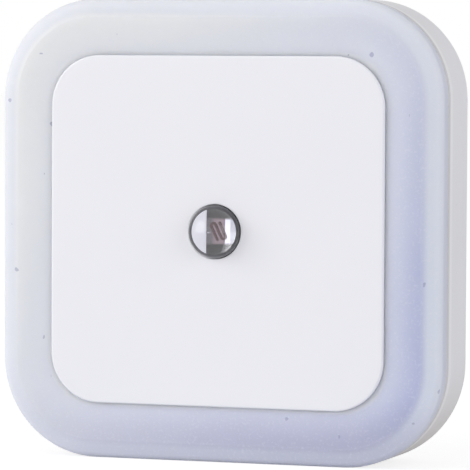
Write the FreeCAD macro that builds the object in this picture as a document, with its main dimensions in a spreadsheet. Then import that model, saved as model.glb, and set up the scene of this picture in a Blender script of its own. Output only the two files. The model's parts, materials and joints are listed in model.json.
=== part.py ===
import FreeCAD, Part
import math
import os
import Sketcher
from FreeCAD import Placement, Rotation, Vector

# A square plug-in night light that switches itself on at dusk. All sizes are in millimetres.
# The frame's origin is the middle of the flat face that meets the wall outlet. X runs to the
# right as the user sees the lamp, Z runs up, and the lamp stands out from the wall along -Y.
# "Reach" is a distance from the wall face towards the room, so a point at reach 5 has Y = -5.

SIZES = {
    # outer form, from the photograph's proportions
    "body_width": 65.0,
    "body_corner": 14.0,
    "housing_depth": 12.1,
    "diffuser_depth": 4.1,
    # rear housing shell
    "shell_wall": 2.0,
    "rear_wall": 2.0,
    "rear_edge": 2.6,
    "wall_pad_width": 50.0,
    "wall_pad_corner": 9.0,
    "wall_pad_rise": 0.5,
    "cavity_bevel": 0.8,
    "seam_chamfer": 0.3,
    # lap joint and snap beads between the two shells
    "lap_depth": 2.2,
    "lap_wall": 1.0,
    "lap_gap": 0.1,
    "snap_width": 12.0,
    "snap_height": 0.8,
    "snap_bite": 0.3,
    "snap_gap": 0.1,
    "snap_setback": 0.8,
    # frosted diffuser
    "shoulder_width": 2.6,
    "shoulder_drop": 0.8,
    "shoulder_round": 1.2,
    "crest_round": 1.0,
    "ring_wall": 1.5,
    "gutter_web": 1.3,
    "floor_thickness": 1.4,
    # white front panel
    "panel_width": 49.1,
    "panel_corner": 7.1,
    "panel_thickness": 1.7,
    "panel_proud": 0.6,
    "panel_gap": 0.06,
    "panel_edge": 0.3,
    "peg_diameter": 2.0,
    "peg_gap": 0.1,
    "peg_spacing": 34.0,
    "peg_head_diameter": 3.2,
    "peg_head_height": 0.6,
    # clear sensor lens
    "dome_radius": 3.74,
    "dome_wall": 0.8,
    "dome_sink": 0.2,
    "well_depth": 0.6,
    "flange_radius": 4.9,
    "flange_thickness": 0.9,
    "lens_gap": 0.1,
    # plug blades, two-pole 15 A pattern
    "blade_pitch": 12.7,
    "blade_width": 6.35,
    "blade_thickness": 1.52,
    "blade_length": 17.0,
    "blade_tip": 1.2,
    "blade_bevel": 0.45,
    "blade_hole": 3.2,
    "blade_hole_reach": 11.9,
    "blade_gap": 0.1,
    "shoulder_span": 9.6,
    "shoulder_height": 2.0,
    "tab_width": 3.2,
    "tab_length": 3.4,
    # seat and clamp that hold the blades
    "seat_length": 19.0,
    "seat_height": 13.0,
    "seat_corner": 2.0,
    "seat_rise": 1.2,
    "seat_recess": 0.6,
    "clamp_length": 32.0,
    "clamp_height": 8.0,
    "clamp_corner": 2.0,
    "clamp_thickness": 1.6,
    "clamp_spacing": 25.0,
    "clamp_post": 4.6,
    # board, its posts and all the self-tapping screws
    "board_width": 52.0,
    "board_corner": 7.0,
    "board_thickness": 1.6,
    "board_reach": 9.5,
    "board_hole": 2.4,
    "post_spacing": 41.0,
    "post_diameter": 5.0,
    "rib_thickness": 1.0,
    "rib_drop": 2.5,
    "pilot_diameter": 1.7,
    "pilot_spare": 0.6,
    "screw_diameter": 1.68,
    "screw_head": 3.7,
    "screw_head_height": 1.2,
    "screw_length": 6.0,
    "clamp_screw_length": 4.0,
    "screw_slot": 0.5,
    # photocell under the lens, and the sleeve that keeps the lamp's own light off it
    "sleeve_wall": 0.9,
    "sleeve_gap": 0.4,
    "sleeve_floor": 0.8,
    "cell_radius": 2.2,
    "cell_flat": 2.1,
    "cell_thickness": 1.8,
    "cell_depth": 0.9,
    "track_width": 0.2,
    "track_pitch": 0.4,
    "track_rise": 0.06,
    "track_span": 1.0,
    "track_height": 1.8,
    "track_slant": 26.0,
    "cell_lead_pitch": 2.4,
    # light-emitting diodes at the middle of each side
    "led_length": 3.5,
    "led_width": 2.8,
    "led_height": 0.8,
    "led_window": 2.1,
    "led_window_depth": 0.12,
    "led_edge_inset": 1.6,
    # parts behind the board
    "dropper_length": 18.0,
    "dropper_height": 10.5,
    "dropper_thickness": 5.5,
    "dropper_round": 0.8,
    "dropper_bevel": 0.4,
    "dropper_z": 18.4,
    "dropper_pitch": 15.0,
    "smoothing_diameter": 5.0,
    "smoothing_length": 11.0,
    "smoothing_x": -9.5,
    "smoothing_z": -17.0,
    "smoothing_pitch": 2.0,
    "bung_length": 1.2,
    "fusible_diameter": 3.2,
    "fusible_length": 9.0,
    "fusible_x": -21.0,
    "fusible_pitch": 13.0,
    "bleeder_diameter": 2.4,
    "bleeder_length": 6.4,
    "bleeder_x": 21.0,
    "bleeder_pitch": 10.0,
    "lead_diameter": 0.6,
    "lead_hole_gap": 0.1,
    "lead_stub": 1.0,
    "rest_gap": 0.1,
    "lead_bend": 0.9,
    "solder_spread": 0.7,
    "solder_height": 0.8,
    # parts on the board's room side
    "diode_length": 4.3,
    "diode_width": 2.6,
    "diode_height": 1.9,
    "diode_leg": 0.4,
    "diode_x": 7.0,
    "diode_z": -13.0,
    "chip_length": 3.2,
    "chip_width": 1.6,
    "chip_height": 0.6,
    "chip_x": 13.0,
    "chip_z": 10.0,
    "chip_pitch": 3.0,
    "switch_length": 2.9,
    "switch_width": 1.3,
    "switch_height": 1.0,
    "switch_x": -13.0,
    "switch_z": 10.0,
    "switch_leg": 0.4,
    # wires from the blades to the board
    "wire_diameter": 1.3,
    "wire_bend": 1.6,
    "wire_rise": 9.0,
    "wire_gap": 0.1,
}

# Places that follow from the sizes, each with its formula.
PLACES = {
    "ring_face": "sizes.housing_depth + sizes.diffuser_depth",
    "panel_face": "sizes.housing_depth + sizes.diffuser_depth + sizes.panel_proud",
    "panel_rear": "places.panel_face - sizes.panel_thickness",
    "floor_rear": "places.panel_rear - sizes.floor_thickness",
    "flange_rear": "places.panel_rear - sizes.flange_thickness",
    "skirt_end": "sizes.housing_depth - sizes.lap_depth + sizes.lap_gap",
    "snap_rear": "sizes.housing_depth - sizes.snap_setback - sizes.snap_height",
    "snap_front": "places.snap_rear + sizes.snap_height",
    "inner_half": "sizes.body_width / 2 - sizes.shell_wall",
    "lap_half": "sizes.body_width / 2 - sizes.lap_wall",
    "lens_hole": "sizes.dome_radius + sizes.lens_gap",
    "dome_centre": "places.panel_face - sizes.dome_sink",
    "well_top": "places.panel_face - sizes.well_depth",
    "cavity_radius": "sizes.dome_radius - sizes.dome_wall",
    "board_front": "sizes.board_reach + sizes.board_thickness",
    "seat_top": "sizes.rear_wall + sizes.seat_rise",
    "shoulder_rear": "places.seat_top - sizes.seat_recess",
    "shoulder_front": "places.shoulder_rear + sizes.shoulder_height",
    "clamp_front": "places.shoulder_front + sizes.clamp_thickness",
    "tab_end": "places.shoulder_front + sizes.tab_length",
    "sleeve_inner": "places.cavity_radius",
    "sleeve_outer": "places.cavity_radius + sizes.sleeve_wall",
    "cell_face": "places.panel_face - sizes.cell_depth",
    "cell_rear": "places.cell_face - sizes.cell_thickness",
    "lead_hole": "sizes.lead_diameter + 2 * sizes.lead_hole_gap",
    "lead_end": "places.board_front + sizes.lead_stub",
    "led_centre": "sizes.board_width / 2 - sizes.led_edge_inset",
    "dropper_row": "sizes.dropper_z - sizes.dropper_height / 2 - sizes.lead_bend - sizes.lead_diameter",
    "smoothing_row": "sizes.smoothing_x + sizes.smoothing_length / 2 + sizes.lead_bend + sizes.lead_diameter",
    "dropper_rear": "sizes.board_reach - sizes.dropper_thickness - sizes.rest_gap",
    "smoothing_level": "sizes.board_reach - sizes.smoothing_diameter / 2 - sizes.rest_gap",
    "wire_start": "sizes.tab_width / 2",
    "wire_column": "sizes.blade_pitch / 2 + sizes.blade_thickness / 2 + sizes.wire_diameter / 2",
    "wire_level": "places.tab_end - sizes.wire_diameter / 2",
}

OUT = "parts"
QUARTER_TURN = 90
SIDES = 4
ROD_SIDES = 6

doc = FreeCAD.newDocument("night_light")
sheet = doc.addObject("Spreadsheet::Sheet", "sizes")
for row, (alias, size) in enumerate(SIZES.items(), start=1):
    sheet.set(f"A{row}", alias)
    sheet.set(f"B{row}", str(size))
    sheet.setAlias(f"B{row}", alias)
doc.recompute()
places = doc.addObject("App::VarSet", "places")
for place, formula in PLACES.items():
    places.addProperty("App::PropertyFloat", place, "places")
    places.setExpression(place, formula)
doc.recompute()


def number(formula):
    """The present value of a formula in the sheet's and the places' names."""
    found = places.evalExpression(formula)
    return float(getattr(found, "Value", found))


def plane(body, role):
    """The origin plane or axis of a body that has this role."""
    return next(f for f in body.Origin.OriginFeatures if f.Role == role)


def new_body(label):
    body = doc.addObject("PartDesign::Body", label)
    body.Label = label
    return body


def new_sketch(body, name, reach="0", x="0", z="0", role="XZ_Plane"):
    """A sketch that faces the room at this reach, with its own centre at x and z."""
    sketch = body.newObject("Sketcher::SketchObject", name)
    sketch.AttachmentSupport = [(plane(body, role), "")]
    sketch.MapMode = "FlatFace"
    sketch.setExpression(".AttachmentOffset.Base.x", x)
    sketch.setExpression(".AttachmentOffset.Base.y", z)
    sketch.setExpression(".AttachmentOffset.Base.z", reach)
    return sketch


def size_constraint(sketch, kind, ends, formula):
    """Adds a dimension and ties it to a formula."""
    index = sketch.addConstraint(Sketcher.Constraint(kind, *ends, number(formula)))
    sketch.setExpression(f"Constraints[{index}]", formula)


def rounded_rectangle(sketch, width, height, radius):
    """A rectangle with round corners, centred on the sketch's origin."""
    half_w, half_h, r = number(width) / 2, number(height) / 2, number(radius)
    corners = [(1, -1), (1, 1), (-1, 1), (-1, -1)]
    first = sketch.GeometryCount
    for k, (sx, sy) in enumerate(corners):
        ahead = corners[(k + 1) % SIDES]
        start = Vector(sx * half_w, sy * half_h)
        end = Vector(ahead[0] * half_w, ahead[1] * half_h)
        along = (end - start).normalize()
        sketch.addGeometry(Part.LineSegment(start + along * r, end - along * r))
    for k, (sx, sy) in enumerate(corners):
        centre = Vector(sx * (half_w - r), sy * (half_h - r))
        turn = Part.Circle(centre, Vector(0, 0, 1), r)
        begin = math.radians(QUARTER_TURN * (k - 1))
        sketch.addGeometry(Part.ArcOfCircle(turn, begin, begin + math.radians(QUARTER_TURN)))
    for k in range(SIDES):
        line, arc, before = first + k, first + SIDES + k, first + (k - 1) % SIDES
        sketch.addConstraint(Sketcher.Constraint("Tangent", before, 2, arc, 1))
        sketch.addConstraint(Sketcher.Constraint("Tangent", arc, 2, line, 1))
        sketch.addConstraint(Sketcher.Constraint("Horizontal" if k % 2 else "Vertical", line))
        if k:
            sketch.addConstraint(Sketcher.Constraint("Equal", first + SIDES, arc))
    sketch.addConstraint(Sketcher.Constraint("Symmetric", first, 1, first + 2, 1, -1, 1))
    size_constraint(sketch, "Radius", (first + SIDES,), radius)
    size_constraint(sketch, "DistanceX", (first + 2, 1, first, 1), width)
    size_constraint(sketch, "DistanceY", (first + 3, 1, first + 1, 1), height)


def circle(sketch, radius, x="0", z="0"):
    """A circle in a sketch, with its centre at x and z."""
    centre = Vector(number(x), number(z))
    index = sketch.addGeometry(Part.Circle(centre, Vector(0, 0, 1), number(radius)))
    size_constraint(sketch, "Radius", (index,), radius)
    fix_point(sketch, index, 3, x, z)


def fix_point(sketch, index, end, x, y):
    """Holds one point of a sketch at x and y from its origin."""
    for kind, axis, formula in (("DistanceX", -2, x), ("DistanceY", -1, y)):
        if formula == "0":
            sketch.addConstraint(Sketcher.Constraint("PointOnObject", index, end, axis))
        else:
            size_constraint(sketch, kind, (-1, 1, index, end), formula)


def outline(sketch, corners, arc_centres=None):
    """A closed outline through corners, pairs of formulas, with a quarter turn about each given centre."""
    arc_centres = arc_centres or {}
    points = [Vector(number(x), number(y)) for x, y in corners]
    first = sketch.GeometryCount
    count = len(points)
    ends = {k: (1, 2) for k in range(count)}
    for k in range(count):
        start, end = points[k], points[(k + 1) % count]
        if k in arc_centres:
            centre = Vector(number(arc_centres[k][0]), number(arc_centres[k][1]))
            onward = (start - centre).cross(end - centre).z > 0
            first_end, last_end = (start, end) if onward else (end, start)
            begin = math.atan2(first_end.y - centre.y, first_end.x - centre.x)
            turn = Part.Circle(centre, Vector(0, 0, 1), (start - centre).Length)
            sketch.addGeometry(Part.ArcOfCircle(turn, begin, begin + math.radians(QUARTER_TURN)))
            ends[k] = (1, 2) if onward else (2, 1)
        else:
            sketch.addGeometry(Part.LineSegment(start, end))
    for k in arc_centres:
        sketch.addConstraint(Sketcher.Constraint("PointOnObject", first + k, 3, -2))
    for k, (x, y) in enumerate(corners):
        before = (k - 1) % count
        joined = (first + before, ends[before][1], first + k, ends[k][0])
        sketch.addConstraint(Sketcher.Constraint("Coincident", *joined))
        fix_point(sketch, first + k, ends[k][0], x, y)


def rectangle(sketch, width, height):
    """A plain rectangle centred on the sketch's origin."""
    corners = [(1, -1), (1, 1), (-1, 1), (-1, -1)]
    outline(sketch, [(f"{sx} * ({width}) / 2", f"{sy} * ({height}) / 2") for sx, sy in corners])


def extrude(body, kind, name, sketch, length, reverse=False, middle=False):
    """A Pad or a Pocket of a sketch. A pad grows towards the room, and a pocket cuts towards the wall."""
    volume = body.Tip.Shape.Volume if kind == "Pocket" else 0.0
    feature = body.newObject("PartDesign::" + kind, name)
    feature.Profile = sketch
    feature.setExpression("Length", length)
    feature.Reversed = reverse
    feature.SideType = "Symmetric" if middle else "One side"
    sketch.Visibility = False
    doc.recompute()
    if kind == "Pocket" and feature.Shape.Volume > volume - 1e-6:
        raise RuntimeError(f"{name} cuts nothing")
    return feature


def repeat_round(body, name, features):
    """Copies features to all four sides, about the lamp's own axis."""
    pattern = body.newObject("PartDesign::PolarPattern", name)
    pattern.Originals = features
    pattern.Axis = (plane(body, "Y_Axis"), [""])
    pattern.Angle = 360
    pattern.Occurrences = SIDES
    body.Tip = pattern
    doc.recompute()
    return pattern


def repeat_mirrored(body, name, features):
    """Copies features from the right side to the left."""
    mirror = body.newObject("PartDesign::Mirrored", name)
    mirror.Originals = features
    mirror.MirrorPlane = (plane(body, "YZ_Plane"), [""])
    body.Tip = mirror
    doc.recompute()
    return mirror


def edges_at(feature, reach):
    """Names of the edges that lie at this reach."""
    found = []
    for index, edge in enumerate(feature.Shape.Edges, start=1):
        if all(abs(point.y + reach) < 1e-4 for point in edge.discretize(5)):
            found.append(f"Edge{index}")
    return found


def fillet(body, name, feature, edges, radius):
    dressed = body.newObject("PartDesign::Fillet", name)
    dressed.Base = (feature, edges)
    dressed.setExpression("Radius", radius)
    doc.recompute()
    return dressed


def chamfer(body, name, feature, edges, size):
    dressed = body.newObject("PartDesign::Chamfer", name)
    dressed.Base = (feature, edges)
    dressed.setExpression("Size", size)
    doc.recompute()
    return dressed


def primitive(kind, label, sizes, x, y, z, turn=Rotation()):
    """A Part primitive whose sizes and base point are formulas."""
    solid = doc.addObject("Part::" + kind, label)
    for name, formula in sizes.items():
        solid.setExpression(name, formula)
    solid.Placement = Placement(Vector(), turn)
    for axis, formula in zip("xyz", (x, y, z)):
        solid.setExpression(f".Placement.Base.{axis}", formula)
    return solid


def block(label, width, depth, height, x, reach, z):
    """A box centred on x and z that starts at this reach and grows towards the room."""
    sizes = {"Length": width, "Width": depth, "Height": height}
    return primitive(
        "Box", label, sizes, f"{x} - ({width}) / 2", f"-({reach}) - ({depth})", f"{z} - ({height}) / 2"
    )


TOWARDS_ROOM = Rotation(Vector(1, 0, 0), 90)
ALONG_X = Rotation(Vector(0, 1, 0), 90)


def stud(label, radius, length, x, reach, z):
    """A cylinder that starts at this reach and grows towards the room."""
    return primitive(
        "Cylinder", label, {"Radius": radius, "Height": length}, x, f"-({reach})", z, TOWARDS_ROOM
    )


def boolean(kind, label, base, tool):
    result = doc.addObject("Part::" + kind, label)
    result.Base = base
    result.Tool = tool
    return result


def group(label, members):
    """Identical pieces that share one node, as separate solids."""
    compound = doc.addObject("Part::Compound", label)
    compound.Links = members
    compound.Label = label
    return compound


def rod_section(centre, along, radius):
    """A six-sided section inscribed in a rod's circle, square to the rod."""
    turn = Rotation(Vector(0, 0, 1), along)
    angles = [math.radians(360 * k / ROD_SIDES) for k in range(ROD_SIDES)]
    ring = [centre + turn.multVec(Vector(radius * math.cos(a), radius * math.sin(a))) for a in angles]
    return Part.makePolygon(ring + ring[:1])


def bent_rod(points, radius, bend):
    """A rod along straight runs joined by tangent arcs."""
    edges, start = [], points[0]
    for before, corner, after in zip(points, points[1:], points[2:]):
        into, out = (corner - before).normalize(), (after - corner).normalize()
        half_turn = into.getAngle(out) / 2
        setback = bend * math.tan(half_turn)
        enter, leave = corner - into * setback, corner + out * setback
        towards = (out - into).normalize()
        middle = corner + towards * (bend / math.cos(half_turn) - bend)
        edges.append(Part.LineSegment(start, enter).toShape())
        edges.append(Part.Arc(enter, middle, leave).toShape())
        start = leave
    edges.append(Part.LineSegment(start, points[-1]).toShape())
    path = Part.Wire(edges)
    section = rod_section(points[0], points[1] - points[0], radius)
    return path.makePipeShell([section], True, False)


def shaped(label, shape):
    """A sub-part whose form comes from a path or a formula."""
    feature = doc.addObject("Part::Feature", label)
    feature.Label = label
    feature.Shape = shape
    return feature


def at(x, reach, z):
    """A point from its x, its reach and its z."""
    return Vector(x, -reach, z)


# Rear housing: a moulded tray with a shallow pad that meets the outlet plate.
housing = new_body("rear_housing")
tray_outline = new_sketch(housing, "tray_outline", "sizes.wall_pad_rise")
rounded_rectangle(tray_outline, "sizes.body_width", "sizes.body_width", "sizes.body_corner")
tray = extrude(housing, "Pad", "tray", tray_outline, "sizes.housing_depth - sizes.wall_pad_rise")
rear_rim = edges_at(tray, number("sizes.wall_pad_rise"))
rear_round = fillet(housing, "rear_round", tray, rear_rim, "sizes.rear_edge")
seam_rim = edges_at(rear_round, number("sizes.housing_depth"))
chamfer(housing, "housing_seam", rear_round, seam_rim, "sizes.seam_chamfer")
pad_outline = new_sketch(housing, "wall_pad_outline")
rounded_rectangle(pad_outline, "sizes.wall_pad_width", "sizes.wall_pad_width", "sizes.wall_pad_corner")
extrude(housing, "Pad", "wall_pad", pad_outline, "sizes.wall_pad_rise")

cavity_outline = new_sketch(housing, "cavity_outline", "sizes.housing_depth")
rounded_rectangle(
    cavity_outline, "2 * places.inner_half", "2 * places.inner_half", "sizes.body_corner - sizes.shell_wall"
)
cavity = extrude(housing, "Pocket", "cavity", cavity_outline, "sizes.housing_depth - sizes.rear_wall")
cavity_floor = edges_at(cavity, number("sizes.rear_wall"))
chamfer(housing, "cavity_bevel", cavity, cavity_floor, "sizes.cavity_bevel")
lap_outline = new_sketch(housing, "lap_outline", "sizes.housing_depth")
rounded_rectangle(
    lap_outline, "2 * places.lap_half", "2 * places.lap_half", "sizes.body_corner - sizes.lap_wall"
)
extrude(housing, "Pocket", "lap_step", lap_outline, "sizes.lap_depth")
groove_section = new_sketch(housing, "groove_section", role="XY_Plane")
groove_root = "places.lap_half - sizes.lap_gap + sizes.snap_bite + sizes.snap_gap"
groove_corners = [
    ("places.inner_half + sizes.lap_gap", "-places.snap_rear + sizes.snap_gap"),
    (groove_root, "-places.snap_rear + sizes.snap_gap"),
    (groove_root, "-places.snap_front - sizes.snap_gap"),
    ("places.inner_half + sizes.lap_gap", "-places.snap_front - sizes.snap_gap"),
]
outline(groove_section, groove_corners)
groove = extrude(
    housing, "Pocket", "snap_groove", groove_section, "sizes.snap_width + 2 * sizes.snap_gap", middle=True
)
repeat_round(housing, "snap_grooves", [groove])

# The blades' seat, the clamp's two posts and the board's four ribbed posts rise from the rear wall.
seat_outline = new_sketch(housing, "seat_outline", "sizes.rear_wall")
rounded_rectangle(seat_outline, "sizes.seat_length", "sizes.seat_height", "sizes.seat_corner")
extrude(housing, "Pad", "blade_seat", seat_outline, "sizes.seat_rise")
clamp_post_outline = new_sketch(housing, "clamp_post_outline", "sizes.rear_wall")
circle(clamp_post_outline, "sizes.clamp_post / 2", "sizes.clamp_spacing / 2")
clamp_post = extrude(
    housing, "Pad", "clamp_post", clamp_post_outline, "places.shoulder_front - sizes.rear_wall"
)
repeat_mirrored(housing, "clamp_posts", [clamp_post])
clamp_pilot_outline = new_sketch(housing, "clamp_pilot_outline", "places.shoulder_front")
circle(clamp_pilot_outline, "sizes.pilot_diameter / 2", "sizes.clamp_spacing / 2")
clamp_pilot = extrude(
    housing,
    "Pocket",
    "clamp_pilot",
    clamp_pilot_outline,
    "sizes.clamp_screw_length - sizes.clamp_thickness + sizes.pilot_spare",
)
repeat_mirrored(housing, "clamp_pilots", [clamp_pilot])
slot_outline = new_sketch(housing, "slot_outline", "places.seat_top", "sizes.blade_pitch / 2")
rectangle(
    slot_outline,
    "sizes.blade_thickness + 2 * sizes.blade_gap",
    "sizes.blade_width + 2 * sizes.blade_gap",
)
blade_slot = extrude(housing, "Pocket", "blade_slot", slot_outline, "places.seat_top")
repeat_mirrored(housing, "blade_slots", [blade_slot])
recess_outline = new_sketch(housing, "recess_outline", "places.seat_top", "sizes.blade_pitch / 2")
rectangle(
    recess_outline,
    "sizes.blade_thickness + 2 * sizes.blade_gap",
    "sizes.shoulder_span + 2 * sizes.blade_gap",
)
shoulder_recess = extrude(housing, "Pocket", "shoulder_recess", recess_outline, "sizes.seat_recess")
repeat_mirrored(housing, "shoulder_recesses", [shoulder_recess])

corner_post = ("sizes.post_spacing / 2", "sizes.post_spacing / 2")
post_outline = new_sketch(housing, "post_outline", "sizes.rear_wall")
circle(post_outline, "sizes.post_diameter / 2", *corner_post)
post = extrude(housing, "Pad", "board_post", post_outline, "sizes.board_reach - sizes.rear_wall")
RIB_BITE = "sizes.shell_wall / 2"
rib_length = f"places.inner_half + {RIB_BITE} - sizes.post_spacing / 2"
rib_middle = f"(places.inner_half + {RIB_BITE} + sizes.post_spacing / 2) / 2"
rib_height = "sizes.board_reach - sizes.rib_drop - sizes.rear_wall"
side_rib_outline = new_sketch(housing, "side_rib_outline", "sizes.rear_wall", rib_middle, corner_post[1])
rectangle(side_rib_outline, rib_length, "sizes.rib_thickness")
side_rib = extrude(housing, "Pad", "side_rib", side_rib_outline, rib_height)
top_rib_outline = new_sketch(housing, "top_rib_outline", "sizes.rear_wall", corner_post[0], rib_middle)
rectangle(top_rib_outline, "sizes.rib_thickness", rib_length)
top_rib = extrude(housing, "Pad", "top_rib", top_rib_outline, rib_height)
repeat_round(housing, "ribbed_posts", [post, side_rib, top_rib])
pilot_outline = new_sketch(housing, "pilot_outline", "sizes.board_reach")
circle(pilot_outline, "sizes.pilot_diameter / 2", *corner_post)
pilot = extrude(
    housing,
    "Pocket",
    "board_pilot",
    pilot_outline,
    "sizes.screw_length - sizes.board_thickness + sizes.pilot_spare",
)
repeat_round(housing, "board_pilots", [pilot])

# Diffuser: the frosted front shell. Its ring shows round the panel, and its floor carries the panel.
diffuser = new_body("diffuser")
ring_outline = new_sketch(diffuser, "ring_outline", "sizes.housing_depth")
rounded_rectangle(ring_outline, "sizes.body_width", "sizes.body_width", "sizes.body_corner")
ring = extrude(diffuser, "Pad", "ring", ring_outline, "sizes.diffuser_depth")
shoulder = diffuser.newObject("PartDesign::Chamfer", "shoulder")
shoulder.Base = (ring, edges_at(ring, number("places.ring_face")))
shoulder.ChamferType = "Two distances"
shoulder.FlipDirection = True
shoulder.setExpression("Size", "sizes.shoulder_width")
shoulder.setExpression("Size2", "sizes.shoulder_drop")
doc.recompute()
brow = edges_at(shoulder, number("places.ring_face - sizes.shoulder_drop"))
shoulder_round = fillet(diffuser, "shoulder_round", shoulder, brow, "sizes.shoulder_round")
crest = edges_at(shoulder_round, number("places.ring_face"))
crest_round = fillet(diffuser, "crest_round", shoulder_round, crest, "sizes.crest_round")
hem = edges_at(crest_round, number("sizes.housing_depth"))
chamfer(diffuser, "diffuser_seam", crest_round, hem, "sizes.seam_chamfer")

hollow_outline = new_sketch(diffuser, "hollow_outline", "sizes.housing_depth")
rounded_rectangle(
    hollow_outline, "2 * places.inner_half", "2 * places.inner_half", "sizes.body_corner - sizes.shell_wall"
)
extrude(
    diffuser, "Pocket", "hollow", hollow_outline, "places.floor_rear - sizes.housing_depth", reverse=True
)
gutter_outline = new_sketch(diffuser, "gutter_outline", "places.floor_rear")
rounded_rectangle(
    gutter_outline, "2 * places.inner_half", "2 * places.inner_half", "sizes.body_corner - sizes.shell_wall"
)
RECESS_WIDTH = "sizes.panel_width + 2 * sizes.panel_gap"
RECESS_CORNER = "sizes.panel_corner + sizes.panel_gap"
rounded_rectangle(
    gutter_outline,
    f"{RECESS_WIDTH} + 2 * sizes.gutter_web",
    f"{RECESS_WIDTH} + 2 * sizes.gutter_web",
    f"{RECESS_CORNER} + sizes.gutter_web",
)
extrude(
    diffuser,
    "Pocket",
    "light_gutter",
    gutter_outline,
    "places.ring_face - sizes.ring_wall - places.floor_rear",
    reverse=True,
)
recess_sketch = new_sketch(diffuser, "panel_recess_outline", "places.ring_face")
rounded_rectangle(recess_sketch, RECESS_WIDTH, RECESS_WIDTH, RECESS_CORNER)
recess = extrude(
    diffuser, "Pocket", "panel_recess", recess_sketch, "places.ring_face - places.panel_rear"
)
flange_outline = new_sketch(diffuser, "flange_outline", "places.panel_rear")
circle(flange_outline, "sizes.flange_radius + sizes.lens_gap")
extrude(diffuser, "Pocket", "flange_seat", flange_outline, "sizes.flange_thickness")
sleeve_outline = new_sketch(diffuser, "sleeve_outline", "places.panel_rear")
circle(sleeve_outline, "places.sleeve_outer + sizes.sleeve_gap")
extrude(diffuser, "Pocket", "sleeve_hole", sleeve_outline, "places.panel_rear - places.floor_rear")
peg_hole_outline = new_sketch(diffuser, "peg_hole_outline", "places.panel_rear")
corner_peg = ("sizes.peg_spacing / 2", "sizes.peg_spacing / 2")
circle(peg_hole_outline, "sizes.peg_diameter / 2 + sizes.peg_gap", *corner_peg)
peg_hole = extrude(
    diffuser, "Pocket", "peg_hole", peg_hole_outline, "places.panel_rear - places.floor_rear"
)
repeat_round(diffuser, "peg_holes", [peg_hole])
skirt_outline = new_sketch(diffuser, "skirt_outline", "places.skirt_end")
rounded_rectangle(
    skirt_outline,
    "2 * (places.lap_half - sizes.lap_gap)",
    "2 * (places.lap_half - sizes.lap_gap)",
    "sizes.body_corner - sizes.lap_wall - sizes.lap_gap",
)
rounded_rectangle(
    skirt_outline, "2 * places.inner_half", "2 * places.inner_half", "sizes.body_corner - sizes.shell_wall"
)
extrude(diffuser, "Pad", "skirt", skirt_outline, "sizes.housing_depth - places.skirt_end")
bead_section = new_sketch(diffuser, "bead_section", role="XY_Plane")
bead_corners = [
    ("places.inner_half + sizes.lap_gap", "-places.snap_rear"),
    ("places.lap_half - sizes.lap_gap", "-places.snap_rear"),
    ("places.lap_half - sizes.lap_gap + sizes.snap_bite", "-places.snap_front"),
    ("places.inner_half + sizes.lap_gap", "-places.snap_front"),
]
outline(bead_section, bead_corners)
bead = extrude(diffuser, "Pad", "snap_bead", bead_section, "sizes.snap_width", middle=True)
repeat_round(diffuser, "snap_beads", [bead])

# Front panel: a white plate with four pegs, whose ends are staked flat behind the diffuser's floor.
panel = new_body("front_panel")
panel_outline = new_sketch(panel, "panel_outline", "places.panel_rear")
rounded_rectangle(panel_outline, "sizes.panel_width", "sizes.panel_width", "sizes.panel_corner")
plate = extrude(panel, "Pad", "plate", panel_outline, "sizes.panel_thickness")
panel_rim = edges_at(plate, number("places.panel_face"))
chamfer(panel, "panel_edge", plate, panel_rim, "sizes.panel_edge")
lens_outline = new_sketch(panel, "lens_outline", "places.panel_face")
circle(lens_outline, "places.lens_hole")
extrude(panel, "Pocket", "lens_opening", lens_outline, "sizes.panel_thickness")
peg_outline = new_sketch(panel, "peg_outline", "places.floor_rear")
circle(peg_outline, "sizes.peg_diameter / 2", *corner_peg)
peg = extrude(panel, "Pad", "peg", peg_outline, "places.panel_rear - places.floor_rear")
head_outline = new_sketch(panel, "head_outline", "places.floor_rear - sizes.peg_head_height")
circle(head_outline, "sizes.peg_head_diameter / 2", *corner_peg)
head = extrude(panel, "Pad", "peg_head", head_outline, "sizes.peg_head_height")
repeat_round(panel, "staked_pegs", [peg, head])

# Sensor lens: a solid clear dome on a flange, with a shallow well behind it for the photocell.
lens = new_body("sensor_lens")
lens_section = new_sketch(lens, "lens_section", role="XY_Plane")
lens_corners = [
    ("0", "-places.dome_centre - sizes.dome_radius"),
    ("sizes.dome_radius", "-places.dome_centre"),
    ("sizes.dome_radius", "-places.panel_rear"),
    ("sizes.flange_radius", "-places.panel_rear"),
    ("sizes.flange_radius", "-places.flange_rear"),
    ("places.cavity_radius", "-places.flange_rear"),
    ("places.cavity_radius", "-places.well_top"),
    ("0", "-places.well_top"),
]
outline(lens_section, lens_corners, {0: ("0", "-places.dome_centre")})
dome = lens.newObject("PartDesign::Revolution", "dome")
dome.Profile = lens_section
dome.ReferenceAxis = (lens_section, ["V_Axis"])
dome.Angle = 360
doc.recompute()

# Light sleeve: a white tube between the board and the lens flange, with a floor that carries the cell.
sleeve = new_body("light_sleeve")
sleeve_section = new_sketch(sleeve, "sleeve_section", "places.board_front")
circle(sleeve_section, "places.sleeve_outer")
circle(sleeve_section, "places.sleeve_inner")
extrude(sleeve, "Pad", "sleeve_tube", sleeve_section, "places.flange_rear - places.board_front")
cell_places = [("0", "-sizes.cell_lead_pitch / 2"), ("0", "sizes.cell_lead_pitch / 2")]
floor_section = new_sketch(sleeve, "floor_section", "places.cell_rear - sizes.sleeve_floor")
circle(floor_section, "places.sleeve_inner + sizes.sleeve_wall / 2")
for x, z in cell_places:
    circle(floor_section, "places.lead_hole / 2", x, z)
extrude(sleeve, "Pad", "sleeve_floor_plate", floor_section, "sizes.sleeve_floor")

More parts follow.
